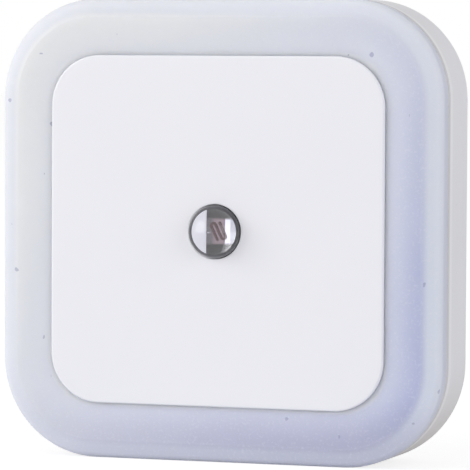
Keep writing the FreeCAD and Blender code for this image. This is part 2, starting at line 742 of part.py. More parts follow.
# Photocell: a ceramic disc with two flats, a serpentine track on its face and two straight leads.
cell_disc = stud("cell_disc", "sizes.cell_radius", "sizes.cell_thickness", "0", "places.cell_rear", "0")
cell_span = "2 * sizes.cell_radius"
cell_flats = block(
    "cell_flats", "sizes.cell_flat", "sizes.cell_thickness", cell_span, "0", "places.cell_rear", "0"
)
photocell = boolean("Common", "photocell_body", cell_disc, cell_flats)
doc.recompute()


def track_shape():
    """A ribbon that runs to and fro over the disc's middle, its straight runs joined by half turns."""
    pitch = number("sizes.track_pitch")
    turn = pitch / 2
    half_run = number("(sizes.track_height - sizes.track_pitch - sizes.track_width) / 2")
    count = int(number("sizes.track_span") / pitch) + 1
    offsets = [(k - (count - 1) / 2) * pitch for k in range(count)]
    edges = []
    for k, x in enumerate(offsets):
        side = 1 if k % 2 == 0 else -1
        start, end = Vector(x, -side * half_run), Vector(x, side * half_run)
        edges.append(Part.LineSegment(start, end).toShape())
        if k + 1 < count:
            top = end + Vector(turn, side * turn)
            edges.append(Part.Arc(end, top, end + Vector(pitch, 0)).toShape())
    ribbon = Part.Wire(edges).makeOffset2D(number("sizes.track_width / 2"), 0, True, False)
    return ribbon.extrude(Vector(0, 0, number("sizes.track_rise")))


track = shaped("photocell_track", track_shape())
lean = Rotation(Vector(0, 0, 1), number("sizes.track_slant"))
track.Placement = Placement(at(0, number("places.cell_face"), 0), TOWARDS_ROOM.multiply(lean))

cell_tip = "sizes.board_reach - sizes.lead_stub"
group(
    "photocell_leads",
    [
        stud(f"cell_lead_{k}", "sizes.lead_diameter / 2", f"places.cell_rear - ({cell_tip})", x, cell_tip, z)
        for k, (x, z) in enumerate(cell_places)
    ],
)

# Circuit board: every lead that passes through it has its own hole.
dropper_places = [(f"{side} * sizes.dropper_pitch / 2", "places.dropper_row") for side in (-1, 1)]
smoothing_places = [
    ("places.smoothing_row", f"sizes.smoothing_z + {side} * sizes.smoothing_pitch / 2") for side in (-1, 1)
]
fusible_places = [("sizes.fusible_x", f"{side} * sizes.fusible_pitch / 2") for side in (-1, 1)]
bleeder_places = [("sizes.bleeder_x", f"{side} * sizes.bleeder_pitch / 2") for side in (-1, 1)]
wire_places = [(f"{side} * places.wire_column", "sizes.wire_rise") for side in (-1, 1)]
lead_places = dropper_places + smoothing_places + fusible_places + bleeder_places

board = new_body("circuit_board")
board_outline = new_sketch(board, "board_outline", "sizes.board_reach")
rounded_rectangle(board_outline, "sizes.board_width", "sizes.board_width", "sizes.board_corner")
extrude(board, "Pad", "board_plate", board_outline, "sizes.board_thickness")
drill_outline = new_sketch(board, "drill_outline", "places.board_front")
for x, z in lead_places + cell_places:
    circle(drill_outline, "places.lead_hole / 2", x, z)
for x, z in wire_places:
    circle(drill_outline, "sizes.wire_diameter / 2 + sizes.wire_gap", x, z)
extrude(board, "Pocket", "lead_holes", drill_outline, "sizes.board_thickness")
fixing_outline = new_sketch(board, "fixing_outline", "places.board_front")
circle(fixing_outline, "sizes.board_hole / 2", *corner_post)
fixing = extrude(board, "Pocket", "fixing_hole", fixing_outline, "sizes.board_thickness")
repeat_round(board, "fixing_holes", [fixing])

# Four light-emitting diodes face the ring, one behind the middle of each side.
for side, (across, up) in {"top": (0, 1), "right": (1, 0), "bottom": (0, -1), "left": (-1, 0)}.items():
    x, z = f"{across} * places.led_centre", f"{up} * places.led_centre"
    width, height = ("sizes.led_length", "sizes.led_width") if up else ("sizes.led_width", "sizes.led_length")
    package = block(f"package_{side}", width, "sizes.led_height", height, x, "places.board_front", z)
    window_reach = "places.board_front + sizes.led_height - sizes.led_window_depth"
    opening = ("sizes.led_window", "sizes.led_window_depth", "sizes.led_window", x, window_reach, z)
    boolean("Cut", f"led_{side}", package, block(f"window_{side}", *opening))
    block(f"phosphor_{side}", *opening)

# Plug blades: one flat strip each, with a shouldered root and a soldering tab.
for side, name in ((-1, "plug_blade_left"), (1, "plug_blade_right")):
    blade = new_body(name)
    blade_section = new_sketch(blade, name + "_section", f"{side} * sizes.blade_pitch / 2", role="YZ_Plane")
    half, tip = "sizes.blade_width / 2", "sizes.blade_length"
    upper = [
        (f"{tip}", f"{half} - sizes.blade_tip"),
        (f"{tip} - sizes.blade_tip", half),
        ("-places.shoulder_rear", half),
        ("-places.shoulder_rear", "sizes.shoulder_span / 2"),
        ("-places.shoulder_front", "sizes.shoulder_span / 2"),
        ("-places.shoulder_front", "sizes.tab_width / 2"),
        ("-places.tab_end", "sizes.tab_width / 2"),
    ]
    lower = [(y, f"-({z})") for y, z in reversed(upper)]
    outline(blade_section, upper + lower)
    strip = extrude(blade, "Pad", name + "_strip", blade_section, "sizes.blade_thickness", middle=True)
    tip_edges = edges_at(strip, -number("sizes.blade_length"))
    chamfer(blade, name + "_bevel", strip, tip_edges, "sizes.blade_bevel")
    middle = f"{side} * sizes.blade_pitch / 2"
    hole_sketch = new_sketch(blade, name + "_hole_outline", middle, role="YZ_Plane")
    circle(hole_sketch, "sizes.blade_hole / 2", "sizes.blade_hole_reach")
    extrude(blade, "Pocket", name + "_hole", hole_sketch, "2 * sizes.blade_thickness", middle=True)

# Blade clamp: a plate over the blades' shoulders, screwed to the two posts.
clamp = new_body("blade_clamp")
clamp_outline = new_sketch(clamp, "clamp_outline", "places.shoulder_front")
rounded_rectangle(clamp_outline, "sizes.clamp_length", "sizes.clamp_height", "sizes.clamp_corner")
extrude(clamp, "Pad", "clamp_plate", clamp_outline, "sizes.clamp_thickness")
tab_slot_outline = new_sketch(clamp, "tab_slot_outline", "places.clamp_front", "sizes.blade_pitch / 2")
rectangle(
    tab_slot_outline,
    "sizes.blade_thickness + 2 * sizes.blade_gap",
    "sizes.tab_width + 2 * sizes.blade_gap",
)
tab_slot = extrude(clamp, "Pocket", "tab_slot", tab_slot_outline, "sizes.clamp_thickness")
repeat_mirrored(clamp, "tab_slots", [tab_slot])
clamp_hole_outline = new_sketch(clamp, "clamp_hole_outline", "places.clamp_front")
circle(clamp_hole_outline, "sizes.board_hole / 2", "sizes.clamp_spacing / 2")
clamp_hole = extrude(clamp, "Pocket", "clamp_hole", clamp_hole_outline, "sizes.clamp_thickness")
repeat_mirrored(clamp, "clamp_holes", [clamp_hole])


def screw(label, length, x, seat, z):
    """A pan-head self-tapping screw whose head rests at the seat's reach."""
    shank = stud(f"{label}_shank", "sizes.screw_diameter / 2", length, x, f"{seat} - {length}", z)
    screw_head = stud(f"{label}_head", "sizes.screw_head / 2", "sizes.screw_head_height", x, seat, z)
    slot_reach = f"{seat} + sizes.screw_head_height / 2"
    slot = block(
        f"{label}_slot", "sizes.screw_head", "sizes.screw_head_height", "sizes.screw_slot", x, slot_reach, z
    )
    return boolean("Cut", label, boolean("Fuse", f"{label}_solid", shank, screw_head), slot)


quarters = [(1, 1), (-1, 1), (-1, -1), (1, -1)]
group(
    "board_screws",
    [
        screw(
            f"board_screw_{k}",
            "sizes.screw_length",
            f"{across} * sizes.post_spacing / 2",
            "places.board_front",
            f"{up} * sizes.post_spacing / 2",
        )
        for k, (across, up) in enumerate(quarters)
    ],
)
group(
    "clamp_screws",
    [
        screw(
            f"clamp_screw_{k}",
            "sizes.clamp_screw_length",
            f"{side} * sizes.clamp_spacing / 2",
            "places.clamp_front",
            "0",
        )
        for k, side in enumerate((-1, 1))
    ],
)

# Film capacitor that drops the mains voltage: a moulded box lying on the board's back.
dropper = new_body("dropper_capacitor")
dropper_outline = new_sketch(dropper, "dropper_outline", "places.dropper_rear", z="sizes.dropper_z")
rounded_rectangle(dropper_outline, "sizes.dropper_length", "sizes.dropper_height", "sizes.dropper_round")
dropper_box = extrude(dropper, "Pad", "dropper_box", dropper_outline, "sizes.dropper_thickness")
dropper_rim = edges_at(dropper_box, number("places.dropper_rear"))
chamfer(dropper, "dropper_edge", dropper_box, dropper_rim, "sizes.dropper_bevel")


def leads(label, routes):
    """Bent leads, each along a route of points from its part to its hole in the board."""
    radius, bend = number("sizes.lead_diameter / 2"), number("sizes.lead_bend")
    return shaped(label, Part.makeCompound([bent_rod(route, radius, bend) for route in routes]))


dropper_level = number("places.dropper_rear + sizes.dropper_thickness / 2")
dropper_base = number("sizes.dropper_z - sizes.dropper_height / 2")
lead_end = number("places.lead_end")
dropper_routes = []
for x, z in ((number(x), number(z)) for x, z in dropper_places):
    dropper_routes.append([at(x, dropper_level, dropper_base), at(x, dropper_level, z), at(x, lead_end, z)])
leads("dropper_leads", dropper_routes)

# Smoothing capacitor: an aluminium can on its side, closed by a rubber bung.
can_start = "sizes.smoothing_x - sizes.smoothing_length / 2"
can_radius = "sizes.smoothing_diameter / 2"
can_place = (can_start, "-places.smoothing_level", "sizes.smoothing_z", ALONG_X)
can = primitive(
    "Cylinder", "can", {"Radius": can_radius, "Height": "sizes.smoothing_length"}, *can_place
)
bung_start = f"{can_start} + sizes.smoothing_length - sizes.bung_length"
bung_sizes = {"Radius": f"{can_radius} * 0.84", "Height": "sizes.bung_length"}
bung_place = (bung_start, "-places.smoothing_level", "sizes.smoothing_z", ALONG_X)
boolean("Cut", "smoothing_capacitor", can, primitive("Cylinder", "bung_space", bung_sizes, *bung_place))
primitive("Cylinder", "smoothing_bung", bung_sizes, *bung_place)
smoothing_level = number("places.smoothing_level")
can_end = number(f"{can_start} + sizes.smoothing_length")
smoothing_routes = []
for x, z in ((number(x), number(z)) for x, z in smoothing_places):
    smoothing_routes.append([at(can_end, smoothing_level, z), at(x, smoothing_level, z), at(x, lead_end, z)])
leads("smoothing_leads", smoothing_routes)


def axial_resistor(label, kind, spots):
    """An upright axial resistor and its two leads, which bend from its ends to the board."""
    radius, length = f"sizes.{kind}_diameter / 2", f"sizes.{kind}_length"
    level = f"sizes.board_reach - {radius} - sizes.rest_gap"
    base = f"-{length} / 2"
    rod_sizes = {"Radius": radius, "Height": length}
    cylinder = primitive("Cylinder", label + "_rod", rod_sizes, f"sizes.{kind}_x", f"-({level})", base)
    bevelled = doc.addObject("Part::Chamfer", label)
    bevelled.Base = cylinder
    doc.recompute()
    bevel = number(radius) / 3
    bevelled.Edges = [
        (index, bevel, bevel)
        for index, edge in enumerate(cylinder.Shape.Edges, start=1)
        if isinstance(edge.Curve, Part.Circle)
    ]
    routes = []
    for x, z in ((number(x), number(z)) for x, z in spots):
        body_end = math.copysign(number(length) / 2, z)
        routes.append([at(x, number(level), body_end), at(x, number(level), z), at(x, lead_end, z)])
    leads(kind + "_leads", routes)


axial_resistor("fusible_resistor", "fusible", fusible_places)
axial_resistor("bleeder_resistor", "bleeder", bleeder_places)

# Parts on the board's room side: the bridge rectifier, a transistor and two chip resistors.
rectifier_place = ("sizes.diode_x", "places.board_front", "sizes.diode_z")
block("bridge_rectifier", "sizes.diode_length", "sizes.diode_height", "sizes.diode_width", *rectifier_place)
legs = []
for across, up in quarters:
    leg_x = f"sizes.diode_x + {across} * (sizes.diode_length + sizes.diode_leg) / 2"
    leg_z = f"sizes.diode_z + {up} * sizes.diode_width / 4"
    leg_size = ("sizes.diode_leg", "sizes.diode_leg", "sizes.diode_leg")
    legs.append(block(f"rectifier_leg_{len(legs)}", *leg_size, leg_x, "places.board_front", leg_z))
group("rectifier_legs", legs)
switch_place = ("sizes.switch_x", "places.board_front", "sizes.switch_z")
block("transistor", "sizes.switch_length", "sizes.switch_height", "sizes.switch_width", *switch_place)
switch_legs = []
for across, up in ((0, 1), (-1, -1), (1, -1)):
    leg_x = f"sizes.switch_x + {across} * sizes.switch_length / 3"
    leg_z = f"sizes.switch_z + {up} * (sizes.switch_width + sizes.switch_leg) / 2"
    leg_size = ("sizes.switch_leg", "sizes.switch_leg", "sizes.switch_leg")
    name = f"transistor_leg_{len(switch_legs)}"
    switch_legs.append(block(name, *leg_size, leg_x, "places.board_front", leg_z))
group("transistor_legs", switch_legs)
chip_size = ("sizes.chip_length", "sizes.chip_height", "sizes.chip_width")
block("divider_resistor", *chip_size, "sizes.chip_x", "places.board_front", "sizes.chip_z")
block("base_resistor", *chip_size, "sizes.chip_x", "places.board_front", "sizes.chip_z - sizes.chip_pitch")

# Supply wires: from each blade's tab along the tab, then through the board.
wire_radius = number("sizes.wire_diameter / 2")
for side, name in ((-1, "supply_wire_left"), (1, "supply_wire_right")):
    column, level = side * number("places.wire_column"), number("places.wire_level")
    rise, start = number("sizes.wire_rise"), -number("places.wire_start")
    route = [at(column, level, start), at(column, level, rise), at(column, lead_end, rise)]
    shaped(name, bent_rod(route, wire_radius, number("sizes.wire_bend")))


def solder(spot, rod_radius, reach, outward):
    """A cone of solder round a lead, on the front of the board (outward 1) or on its back (outward -1)."""
    x, z = number(spot[0]), number(spot[1])
    radius, spread = number(rod_radius), number("sizes.solder_spread")
    start = at(x, number(reach), z)
    end = at(x, number(reach) + outward * number("sizes.solder_height"), z)
    ends = [(start, radius + spread), (end, radius + spread / 5)]
    cone = Part.makeLoft([rod_section(place, end - start, size) for place, size in ends], True, True)
    hole = Part.makeLoft([rod_section(place, end - start, radius) for place, _ in ends], True, True)
    return cone.cut(hole)


joints = [solder(spot, "sizes.lead_diameter / 2", "places.board_front", 1) for spot in lead_places]
joints += [solder(spot, "sizes.wire_diameter / 2", "places.board_front", 1) for spot in wire_places]
joints += [solder(spot, "sizes.lead_diameter / 2", "sizes.board_reach", -1) for spot in cell_places]
shaped("solder_joints", Part.makeCompound(joints))
doc.recompute()

NODES = [
    "rear_housing",
    "diffuser",
    "front_panel",
    "sensor_lens",
    "light_sleeve",
    "photocell_body",
    "photocell_track",
    "photocell_leads",
    "circuit_board",
    "led_top",
    "led_right",
    "led_bottom",
    "led_left",
    "phosphor_top",
    "phosphor_right",
    "phosphor_bottom",
    "phosphor_left",
    "plug_blade_left",
    "plug_blade_right",
    "blade_clamp",
    "board_screws",
    "clamp_screws",
    "dropper_capacitor",
    "dropper_leads",
    "smoothing_capacitor",
    "smoothing_bung",
    "smoothing_leads",
    "fusible_resistor",
    "fusible_leads",
    "bleeder_resistor",
    "bleeder_leads",
    "bridge_rectifier",
    "rectifier_legs",
    "transistor",
    "transistor_legs",
    "divider_resistor",
    "base_resistor",
    "supply_wire_left",
    "supply_wire_right",
    "solder_joints",
]

for item in doc.Objects:
    if "Invalid" in item.State or "Error" in item.State:
        raise RuntimeError(f"{item.Label} failed: {item.State}")
for node in NODES:
    shape = doc.getObjectsByLabel(node)[0].Shape
    if shape.isNull() or not shape.isValid() or not shape.Solids:
        raise RuntimeError(f"{node} has no valid solid")
os.makedirs(OUT, exist_ok=True)
for node in NODES:
    shape = doc.getObjectsByLabel(node)[0].Shape
    shape.exportStep(f"{OUT}/{node}.step")
    print(node, len(shape.Solids), round(shape.Volume, 3))
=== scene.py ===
import json
import math
import bpy
import numpy as np
from mathutils import Matrix, Vector


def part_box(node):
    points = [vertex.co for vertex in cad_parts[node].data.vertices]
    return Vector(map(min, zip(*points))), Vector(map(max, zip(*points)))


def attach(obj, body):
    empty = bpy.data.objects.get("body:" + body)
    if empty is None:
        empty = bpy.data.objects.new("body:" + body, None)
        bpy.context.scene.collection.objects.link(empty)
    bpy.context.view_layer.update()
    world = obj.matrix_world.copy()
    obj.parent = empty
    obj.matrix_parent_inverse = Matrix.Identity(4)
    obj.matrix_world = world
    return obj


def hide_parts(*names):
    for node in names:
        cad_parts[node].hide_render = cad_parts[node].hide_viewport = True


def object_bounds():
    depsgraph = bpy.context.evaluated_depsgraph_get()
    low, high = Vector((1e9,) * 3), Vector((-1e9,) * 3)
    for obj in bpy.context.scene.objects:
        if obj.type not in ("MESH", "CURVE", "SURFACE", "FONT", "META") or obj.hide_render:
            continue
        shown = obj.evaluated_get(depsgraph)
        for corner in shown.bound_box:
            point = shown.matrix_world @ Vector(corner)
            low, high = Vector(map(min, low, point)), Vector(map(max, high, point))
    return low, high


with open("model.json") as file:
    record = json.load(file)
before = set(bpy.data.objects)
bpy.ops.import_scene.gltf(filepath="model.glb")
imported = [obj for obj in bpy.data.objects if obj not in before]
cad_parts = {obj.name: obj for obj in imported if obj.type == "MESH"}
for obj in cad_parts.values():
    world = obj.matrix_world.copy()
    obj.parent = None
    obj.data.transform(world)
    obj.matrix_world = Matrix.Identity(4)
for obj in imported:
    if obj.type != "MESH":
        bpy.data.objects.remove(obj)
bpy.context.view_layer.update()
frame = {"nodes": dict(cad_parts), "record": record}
nodes = frame["nodes"]
MM = 0.001


# Diffuser: the front shell of frosted lavender plastic, moulded in one piece. Its ring catches
# the light round the panel, and inside it has a gutter for the diodes' light, a floor and a skirt.
# Its snap beads and the holes for the panel's pegs are hidden, and left out here.
class Value:
    """A shader socket that takes part in Python arithmetic, each operation as one Math node."""

    def __init__(self, surface, socket):
        self.surface = surface
        self.socket = socket

    def math(self, operation, other=None, swap=False):
        pair = [self] if other is None else [other, self] if swap else [self, other]
        return self.surface.node("ShaderNodeMath", {"operation": operation}, dict(enumerate(pair)))

    def __add__(self, other):
        return self.math("ADD", other)

    def __sub__(self, other):
        return self.math("SUBTRACT", other)

    def __rsub__(self, other):
        return self.math("SUBTRACT", other, swap=True)

    def __mul__(self, other):
        return self.math("MULTIPLY", other)

    def __truediv__(self, other):
        return self.math("DIVIDE", other)

    __radd__ = __add__


class Surface:
    """A material whose Principled shader takes constants and the results of node expressions."""

    def __init__(self, name, **constants):
        self.material = bpy.data.materials.new(name)
        self.material.use_nodes = True
        self.tree = self.material.node_tree
        self.shader = self.tree.nodes["Principled BSDF"]
        self.set(**constants)
        self.place = self.node("ShaderNodeTexCoord", output="Object")

    def node(self, kind, settings=None, inputs=None, output=0):
        made = self.tree.nodes.new(kind)
        for key, setting in (settings or {}).items():
            setattr(made, key, setting)
        for key, given in (inputs or {}).items():
            if isinstance(given, Value):
                self.tree.links.new(given.socket, made.inputs[key])
            else:
                made.inputs[key].default_value = given
        return Value(self, made.outputs[output])

    def set(self, **inputs):
        for key, given in inputs.items():
            socket = self.shader.inputs[key.replace("_", " ")]
            if isinstance(given, Value):
                self.tree.links.new(given.socket, socket)
            else:
                socket.default_value = given

    def noise(self, grain, detail=2.0, stretch=(1, 1, 1)):
        """Noise from 0 to 1 whose grains measure this many metres, stretched along the axes."""
        scaled = self.node("ShaderNodeMapping", inputs={0: self.place, "Scale": stretch})
        settings = {"Vector": scaled, "Scale": 1 / grain, "Detail": detail}
        return self.node("ShaderNodeTexNoise", inputs=settings)

    def mix(self, factor, first, second):
        """Goes from the first colour to the second as the factor goes from 0 to 1."""
        kept = {"data_type": "RGBA", "clamp_factor": True}
        return self.node("ShaderNodeMix", kept, {0: factor, 6: first, 7: second}, output=2)

    def step(self, number, low, high):
        """0 below the low number, 1 above the high one, and a smooth ramp between."""
        kept = {"interpolation_type": "SMOOTHSTEP"}
        return self.node("ShaderNodeMapRange", kept, {0: number, 1: low, 2: high})

    def bump(self, height, depth, strength):
        """Raises the surface by up to depth metres where the height is 1."""
        made = self.node("ShaderNodeBump", inputs={"Height": height, "Distance": depth, "Strength": strength})
        self.set(Normal=made)

    def parts(self):
        """The x, y and z of a point of the surface, in metres."""
        return [self.node("ShaderNodeSeparateXYZ", inputs={0: self.place}, output=axis) for axis in range(3)]

    def overlay(self, factor, shader):
        """Lays a second shader over the first where the factor is 1."""
        first = Value(self, self.shader.outputs[0])
        blend = self.node("ShaderNodeMixShader", inputs={0: factor, 1: first, 2: shader})
        self.tree.links.new(blend.socket, self.tree.nodes["Material Output"].inputs[0])

    def square_inset(self, half, corner):
        """How far inside a rounded square of this half width a point lies, in metres, from its x and z."""
        over = [part.math("ABSOLUTE") - (half - corner) for part in self.parts()[::2]]
        outside = [part.math("MAXIMUM", 0.0) for part in over]
        reach = (outside[0] * outside[0] + outside[1] * outside[1]).math("SQRT")
        return corner - (reach + over[0].math("MAXIMUM", over[1]).math("MINIMUM", 0.0))


def colour(red, green, blue):
    """An sRGB colour of 0 to 255 as the linear colour that a shader takes."""
    shares = np.array([red, green, blue]) / 255
    linear = np.where(shares <= 0.04045, shares / 12.92, ((shares + 0.055) / 1.055) ** 2.4)
    return (*linear.tolist(), 1.0)


SIDE_STEPS = 10
CORNER_STEPS = 20
LEAST_CORNER = 0.05
GUIDE_HALF, GUIDE_CORNER = 20, 6
SHARP_ANGLE = 28


def square_loop(half, corner, reach):
    """A rounded square at a reach from the wall: a straight half side, a quarter turn of the corner's
    radius and the next half side, turned four times by a right angle."""
    corner = max(corner, LEAST_CORNER)
    rise = np.linspace(0, half - corner, SIDE_STEPS, endpoint=False)
    turn = np.linspace(0, np.pi / 2, CORNER_STEPS, endpoint=False)
    side = np.stack([np.full_like(rise, half), rise], 1)
    arc = half - corner + corner * np.stack([np.cos(turn), np.sin(turn)], 1)
    top = np.stack([(half - corner) - rise, np.full_like(rise, half)], 1)
    quarter = np.concatenate([side, arc, top])
    right_angle = np.array([[0, 1], [-1, 0]])
    flat = np.concatenate([quarter @ np.linalg.matrix_power(right_angle, k) for k in range(4)])
    return np.stack([flat[:, 0], np.full(len(flat), -reach), flat[:, 1]], 1) * MM


def disc_loop(radius, reach):
    """A circle with as many points as a square loop, each in the direction of that loop's point."""
    guide = square_loop(GUIDE_HALF, GUIDE_CORNER, reach)[:, [0, 2]]
    unit = guide / np.linalg.norm(guide, axis=1, keepdims=True)
    return np.stack([unit[:, 0] * radius, np.full(len(unit), -reach), unit[:, 1] * radius], 1) * MM


def spread(first, last, count):
    """Loops evenly spaced from the first to the last, without the last."""
    share = np.linspace(0, 1, count, endpoint=False)[:, None, None]
    return list(first * (1 - share) + last * share)


def soften(corners, steps=7):
    """A closed profile of (inset, reach, radius) corners, each rounded by an arc tangent to both its
    sides: the arc starts at radius times the tangent of half the turn before the corner."""
    points = np.array([corner[:2] for corner in corners], float)
    path = []
    for k, (_, _, radius) in enumerate(corners):
        here = points[k]
        back, on = points[k - 1] - here, points[(k + 1) % len(corners)] - here
        back, on = back / np.linalg.norm(back), on / np.linalg.norm(on)
        half_open = np.arccos(np.clip(back @ on, -1, 1)) / 2
        middle = here + (back + on) / np.linalg.norm(back + on) * radius / np.sin(half_open)
        start, end = (here + way * radius / np.tan(half_open) - middle for way in (back, on))
        share = np.linspace(0, 1, steps)[:, None]
        sweep = np.pi - 2 * half_open
        arc = (np.sin((1 - share) * sweep) * start + np.sin(share * sweep) * end) / np.sin(sweep)
        path.append(middle + arc)
    return np.concatenate(path)


def place_mesh(name, points, faces, surface):
    """Makes an object of points and faces, outward side out, smooth but for its sharp edges."""
    a, b, c = (points[faces[:, k]] for k in range(3))
    if np.einsum("ij,ij->", a, np.cross(b, c)) < 0:
        faces = faces[:, ::-1]
    mesh = bpy.data.meshes.new(name)
    mesh.from_pydata(points.tolist(), [], faces.tolist())
    mesh.materials.append(surface.material)
    mesh.shade_smooth()
    mesh.set_sharp_from_angle(angle=math.radians(SHARP_ANGLE))
    made = bpy.data.objects.new(name, mesh)
    bpy.context.scene.collection.objects.link(made)
    return made


def wrap(name, loops, surface):
    """A closed shell through loops of equal count: each joins the next, and the last joins the first."""
    grid = np.stack(loops)
    index = np.arange(grid.shape[0] * grid.shape[1]).reshape(grid.shape[:2])
    right = np.roll(index, -1, 1)
    faces = np.stack([index, right, np.roll(right, -1, 0), np.roll(index, -1, 0)], -1).reshape(-1, 4)
    return place_mesh(name, grid.reshape(-1, 3), faces, surface)


def body_loops(profile):
    """Loops of the lamp's rounded square, each drawn in by its inset and set at its reach. Their corners
    go over from the body's to the panel's on the ring's face."""
    stations = [0, SHOULDER, RECESS, RECESS + PANEL_CORNER]
    corners = [BODY_CORNER, BODY_CORNER - SHOULDER, PANEL_CORNER + PANEL_GAP, 0]
    return [
        square_loop(BODY_HALF - inset, np.interp(inset, stations, corners), reach) for inset, reach in profile
    ]


BODY_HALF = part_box("diffuser")[1].x / MM
BODY_CORNER = 14.0
RING_FACE = -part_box("diffuser")[0].y / MM
SEAM = -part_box("rear_housing")[0].y / MM
PANEL_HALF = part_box("front_panel")[1].x / MM
PANEL_CORNER = 7.1
PANEL_FACE = -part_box("front_panel")[0].y / MM
PANEL_THICKNESS, FLOOR_THICKNESS, RING_THICKNESS = 1.7, 1.4, 1.5
PANEL_REAR = PANEL_FACE - PANEL_THICKNESS
FLOOR_REAR = PANEL_REAR - FLOOR_THICKNESS
SKIRT_END = -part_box("diffuser")[1].y / MM
SHOULDER, SHOULDER_DROP = 2.6, 0.8
SKIRT_INSIDE, SKIRT_OUTSIDE = 2.0, 1.1
GUTTER_WALL, FLOOR_EDGE = 1.3, 2.0
SEAT_RADIUS, SEAT_DEPTH, SLEEVE_HOLE = 5.0, 0.9, 4.24
PANEL_GAP = 0.001
RECESS = BODY_HALF - PANEL_HALF - PANEL_GAP

# The plastic looks bluer and darker toward the right and the bottom, with a whiter shoulder: this is
# painted shade, in place of light that passes through the plastic from the upper left. The pale lip at
# the panel is painted light, the greyer side painted shade, and a few specks are the plastic's own.
# These tones lie by place on the lamp, and each pair of edges says where one starts and where it is full.
BAND_EDGES = (1.6 * MM, 3.0 * MM)
HOLLOW_EDGES = (2.2 * MM, 8.2 * MM)
SHADE_BELOW_EDGES = (0.66, 0.93)
PAINTED_LIP_EDGES = ((RECESS - 0.7) * MM, RECESS * MM)
SIDE_SHADE_EDGES = (14.0 * MM, 15.0 * MM)
frosted = Surface("frosted_plastic", IOR=1.49, Subsurface_Weight=0.85, Subsurface_Scale=0.003)
frosted.set(Subsurface_Radius=(1.15, 1.1, 1.0))
inset_shade = frosted.square_inset(BODY_HALF * MM, BODY_CORNER * MM)
depth_in = frosted.step(inset_shade, *HOLLOW_EDGES)
across, upward = (part / (BODY_HALF * MM) for part in frosted.parts()[::2])
# Painted shade: darker toward the lower right, in place of light from the upper left.
painted_shade_lower_right = frosted.step(across * 0.65 - upward * 0.5, -1.2, 1.2)
clouds = frosted.noise(0.009, 3.0)
speckle = frosted.noise(0.00035, 2.0)
pits = frosted.noise(0.00025, 1.0)
# Lit and shaded copies of the plastic's colour, for the shoulder, the band and the part over the hollow.
shoulder_lit_and_shaded = frosted.mix(painted_shade_lower_right, colour(233, 235, 246), colour(222, 228, 249))
band_lit_and_shaded = frosted.mix(painted_shade_lower_right, colour(252, 253, 255), colour(178, 184, 219))
rim_tone = frosted.mix(frosted.step(inset_shade, *BAND_EDGES), shoulder_lit_and_shaded, band_lit_and_shaded)
hollow_lit_and_shaded = frosted.mix(painted_shade_lower_right, colour(239, 241, 255), colour(222, 226, 252))
tone = frosted.mix(depth_in * 0.85 + (clouds - 0.5) * 0.35, rim_tone, hollow_lit_and_shaded)
# Painted shade along the bottom, deepest at the lower right.
low = frosted.step(upward * -1.0, *SHADE_BELOW_EDGES) * painted_shade_lower_right * 0.55
tone = frosted.mix(low, tone, colour(184, 184, 198))
# Painted light: a pale lip at the panel that lifts the shadow the panel casts on the ring.
painted_lip_light = frosted.step(inset_shade, *PAINTED_LIP_EDGES) * 0.5
tone = frosted.mix(painted_lip_light, tone, colour(246, 248, 255))
specks = frosted.step(frosted.noise(0.0011, 0.0), 0.855, 0.87) * 0.45
tone = frosted.mix(specks, tone, colour(126, 132, 170))
# Painted shade: the ring's side, behind the shoulder, goes greyer.
painted_side_shade = (1.0 - frosted.step(frosted.parts()[1] * -1.0, *SIDE_SHADE_EDGES)) * 0.55
tone = frosted.mix(painted_side_shade, tone, colour(198, 200, 218))
fleck = frosted.step(speckle, 0.52, 0.72) * 0.18
frosted.set(Base_Color=frosted.mix(fleck, tone, colour(240, 241, 252)))
frosted.set(Roughness=0.42 + clouds * 0.12)
frosted.bump(speckle * 0.6 + pits * 0.4, 0.000035, 0.6)

ring_profile = soften(
    [
        (0.3, SEAM, 0.1),
        (0.0, SEAM + 0.3, 0.15),
        (0.0, RING_FACE - SHOULDER_DROP, 1.2),
        (SHOULDER, RING_FACE, 1.0),
        (RECESS, RING_FACE, 0.004),
        (RECESS, PANEL_REAR, 0.1),
        (RECESS + FLOOR_EDGE, PANEL_REAR, 0.01),
        (RECESS + FLOOR_EDGE, FLOOR_REAR, 0.01),
        (RECESS - GUTTER_WALL, FLOOR_REAR, 0.1),
        (RECESS - GUTTER_WALL, RING_FACE - RING_THICKNESS, 0.2),
        (SKIRT_INSIDE, RING_FACE - RING_THICKNESS, 0.3),
        (SKIRT_INSIDE, SKIRT_END, 0.05),
        (SKIRT_OUTSIDE, SKIRT_END, 0.2),
        (SKIRT_OUTSIDE, SEAM, 0.05),
    ]
)
deepest = ring_profile[:, 0] > RECESS + 0.95 * FLOOR_EDGE
front_turn = int(np.argmax(deepest))
rear_turn = len(ring_profile) - int(np.argmax(deepest[::-1]))
outside = body_loops(ring_profile[:front_turn])
inside = body_loops(ring_profile[rear_turn:])
seat = [
    disc_loop(SEAT_RADIUS, PANEL_REAR),
    disc_loop(SEAT_RADIUS, PANEL_REAR - SEAT_DEPTH),
    disc_loop(SLEEVE_HOLE, PANEL_REAR - SEAT_DEPTH),
]
floor_front = spread(outside[-1], seat[0], count=8)[1:]
floor_rear = spread(disc_loop(SLEEVE_HOLE, FLOOR_REAR), inside[0], count=8)
diffuser = wrap("diffuser_shell", outside + floor_front + seat + floor_rear + inside, frosted)
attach(diffuser, "root")
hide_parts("diffuser")


# Front panel: an injection-moulded plate of white plastic with a fine satin face, a small round along
# its edge and a painted highlight there. The four pegs that stake it to the diffuser's floor are hidden,
# and left out here.
white = Surface("white_panel", Roughness=0.36, IOR=1.5)
haze = white.noise(0.02, 2.0)
dust = white.noise(0.0006, 3.0)
satin = white.noise(0.00016, 2.0)
edge_inset = white.square_inset(PANEL_HALF * MM, PANEL_CORNER * MM)
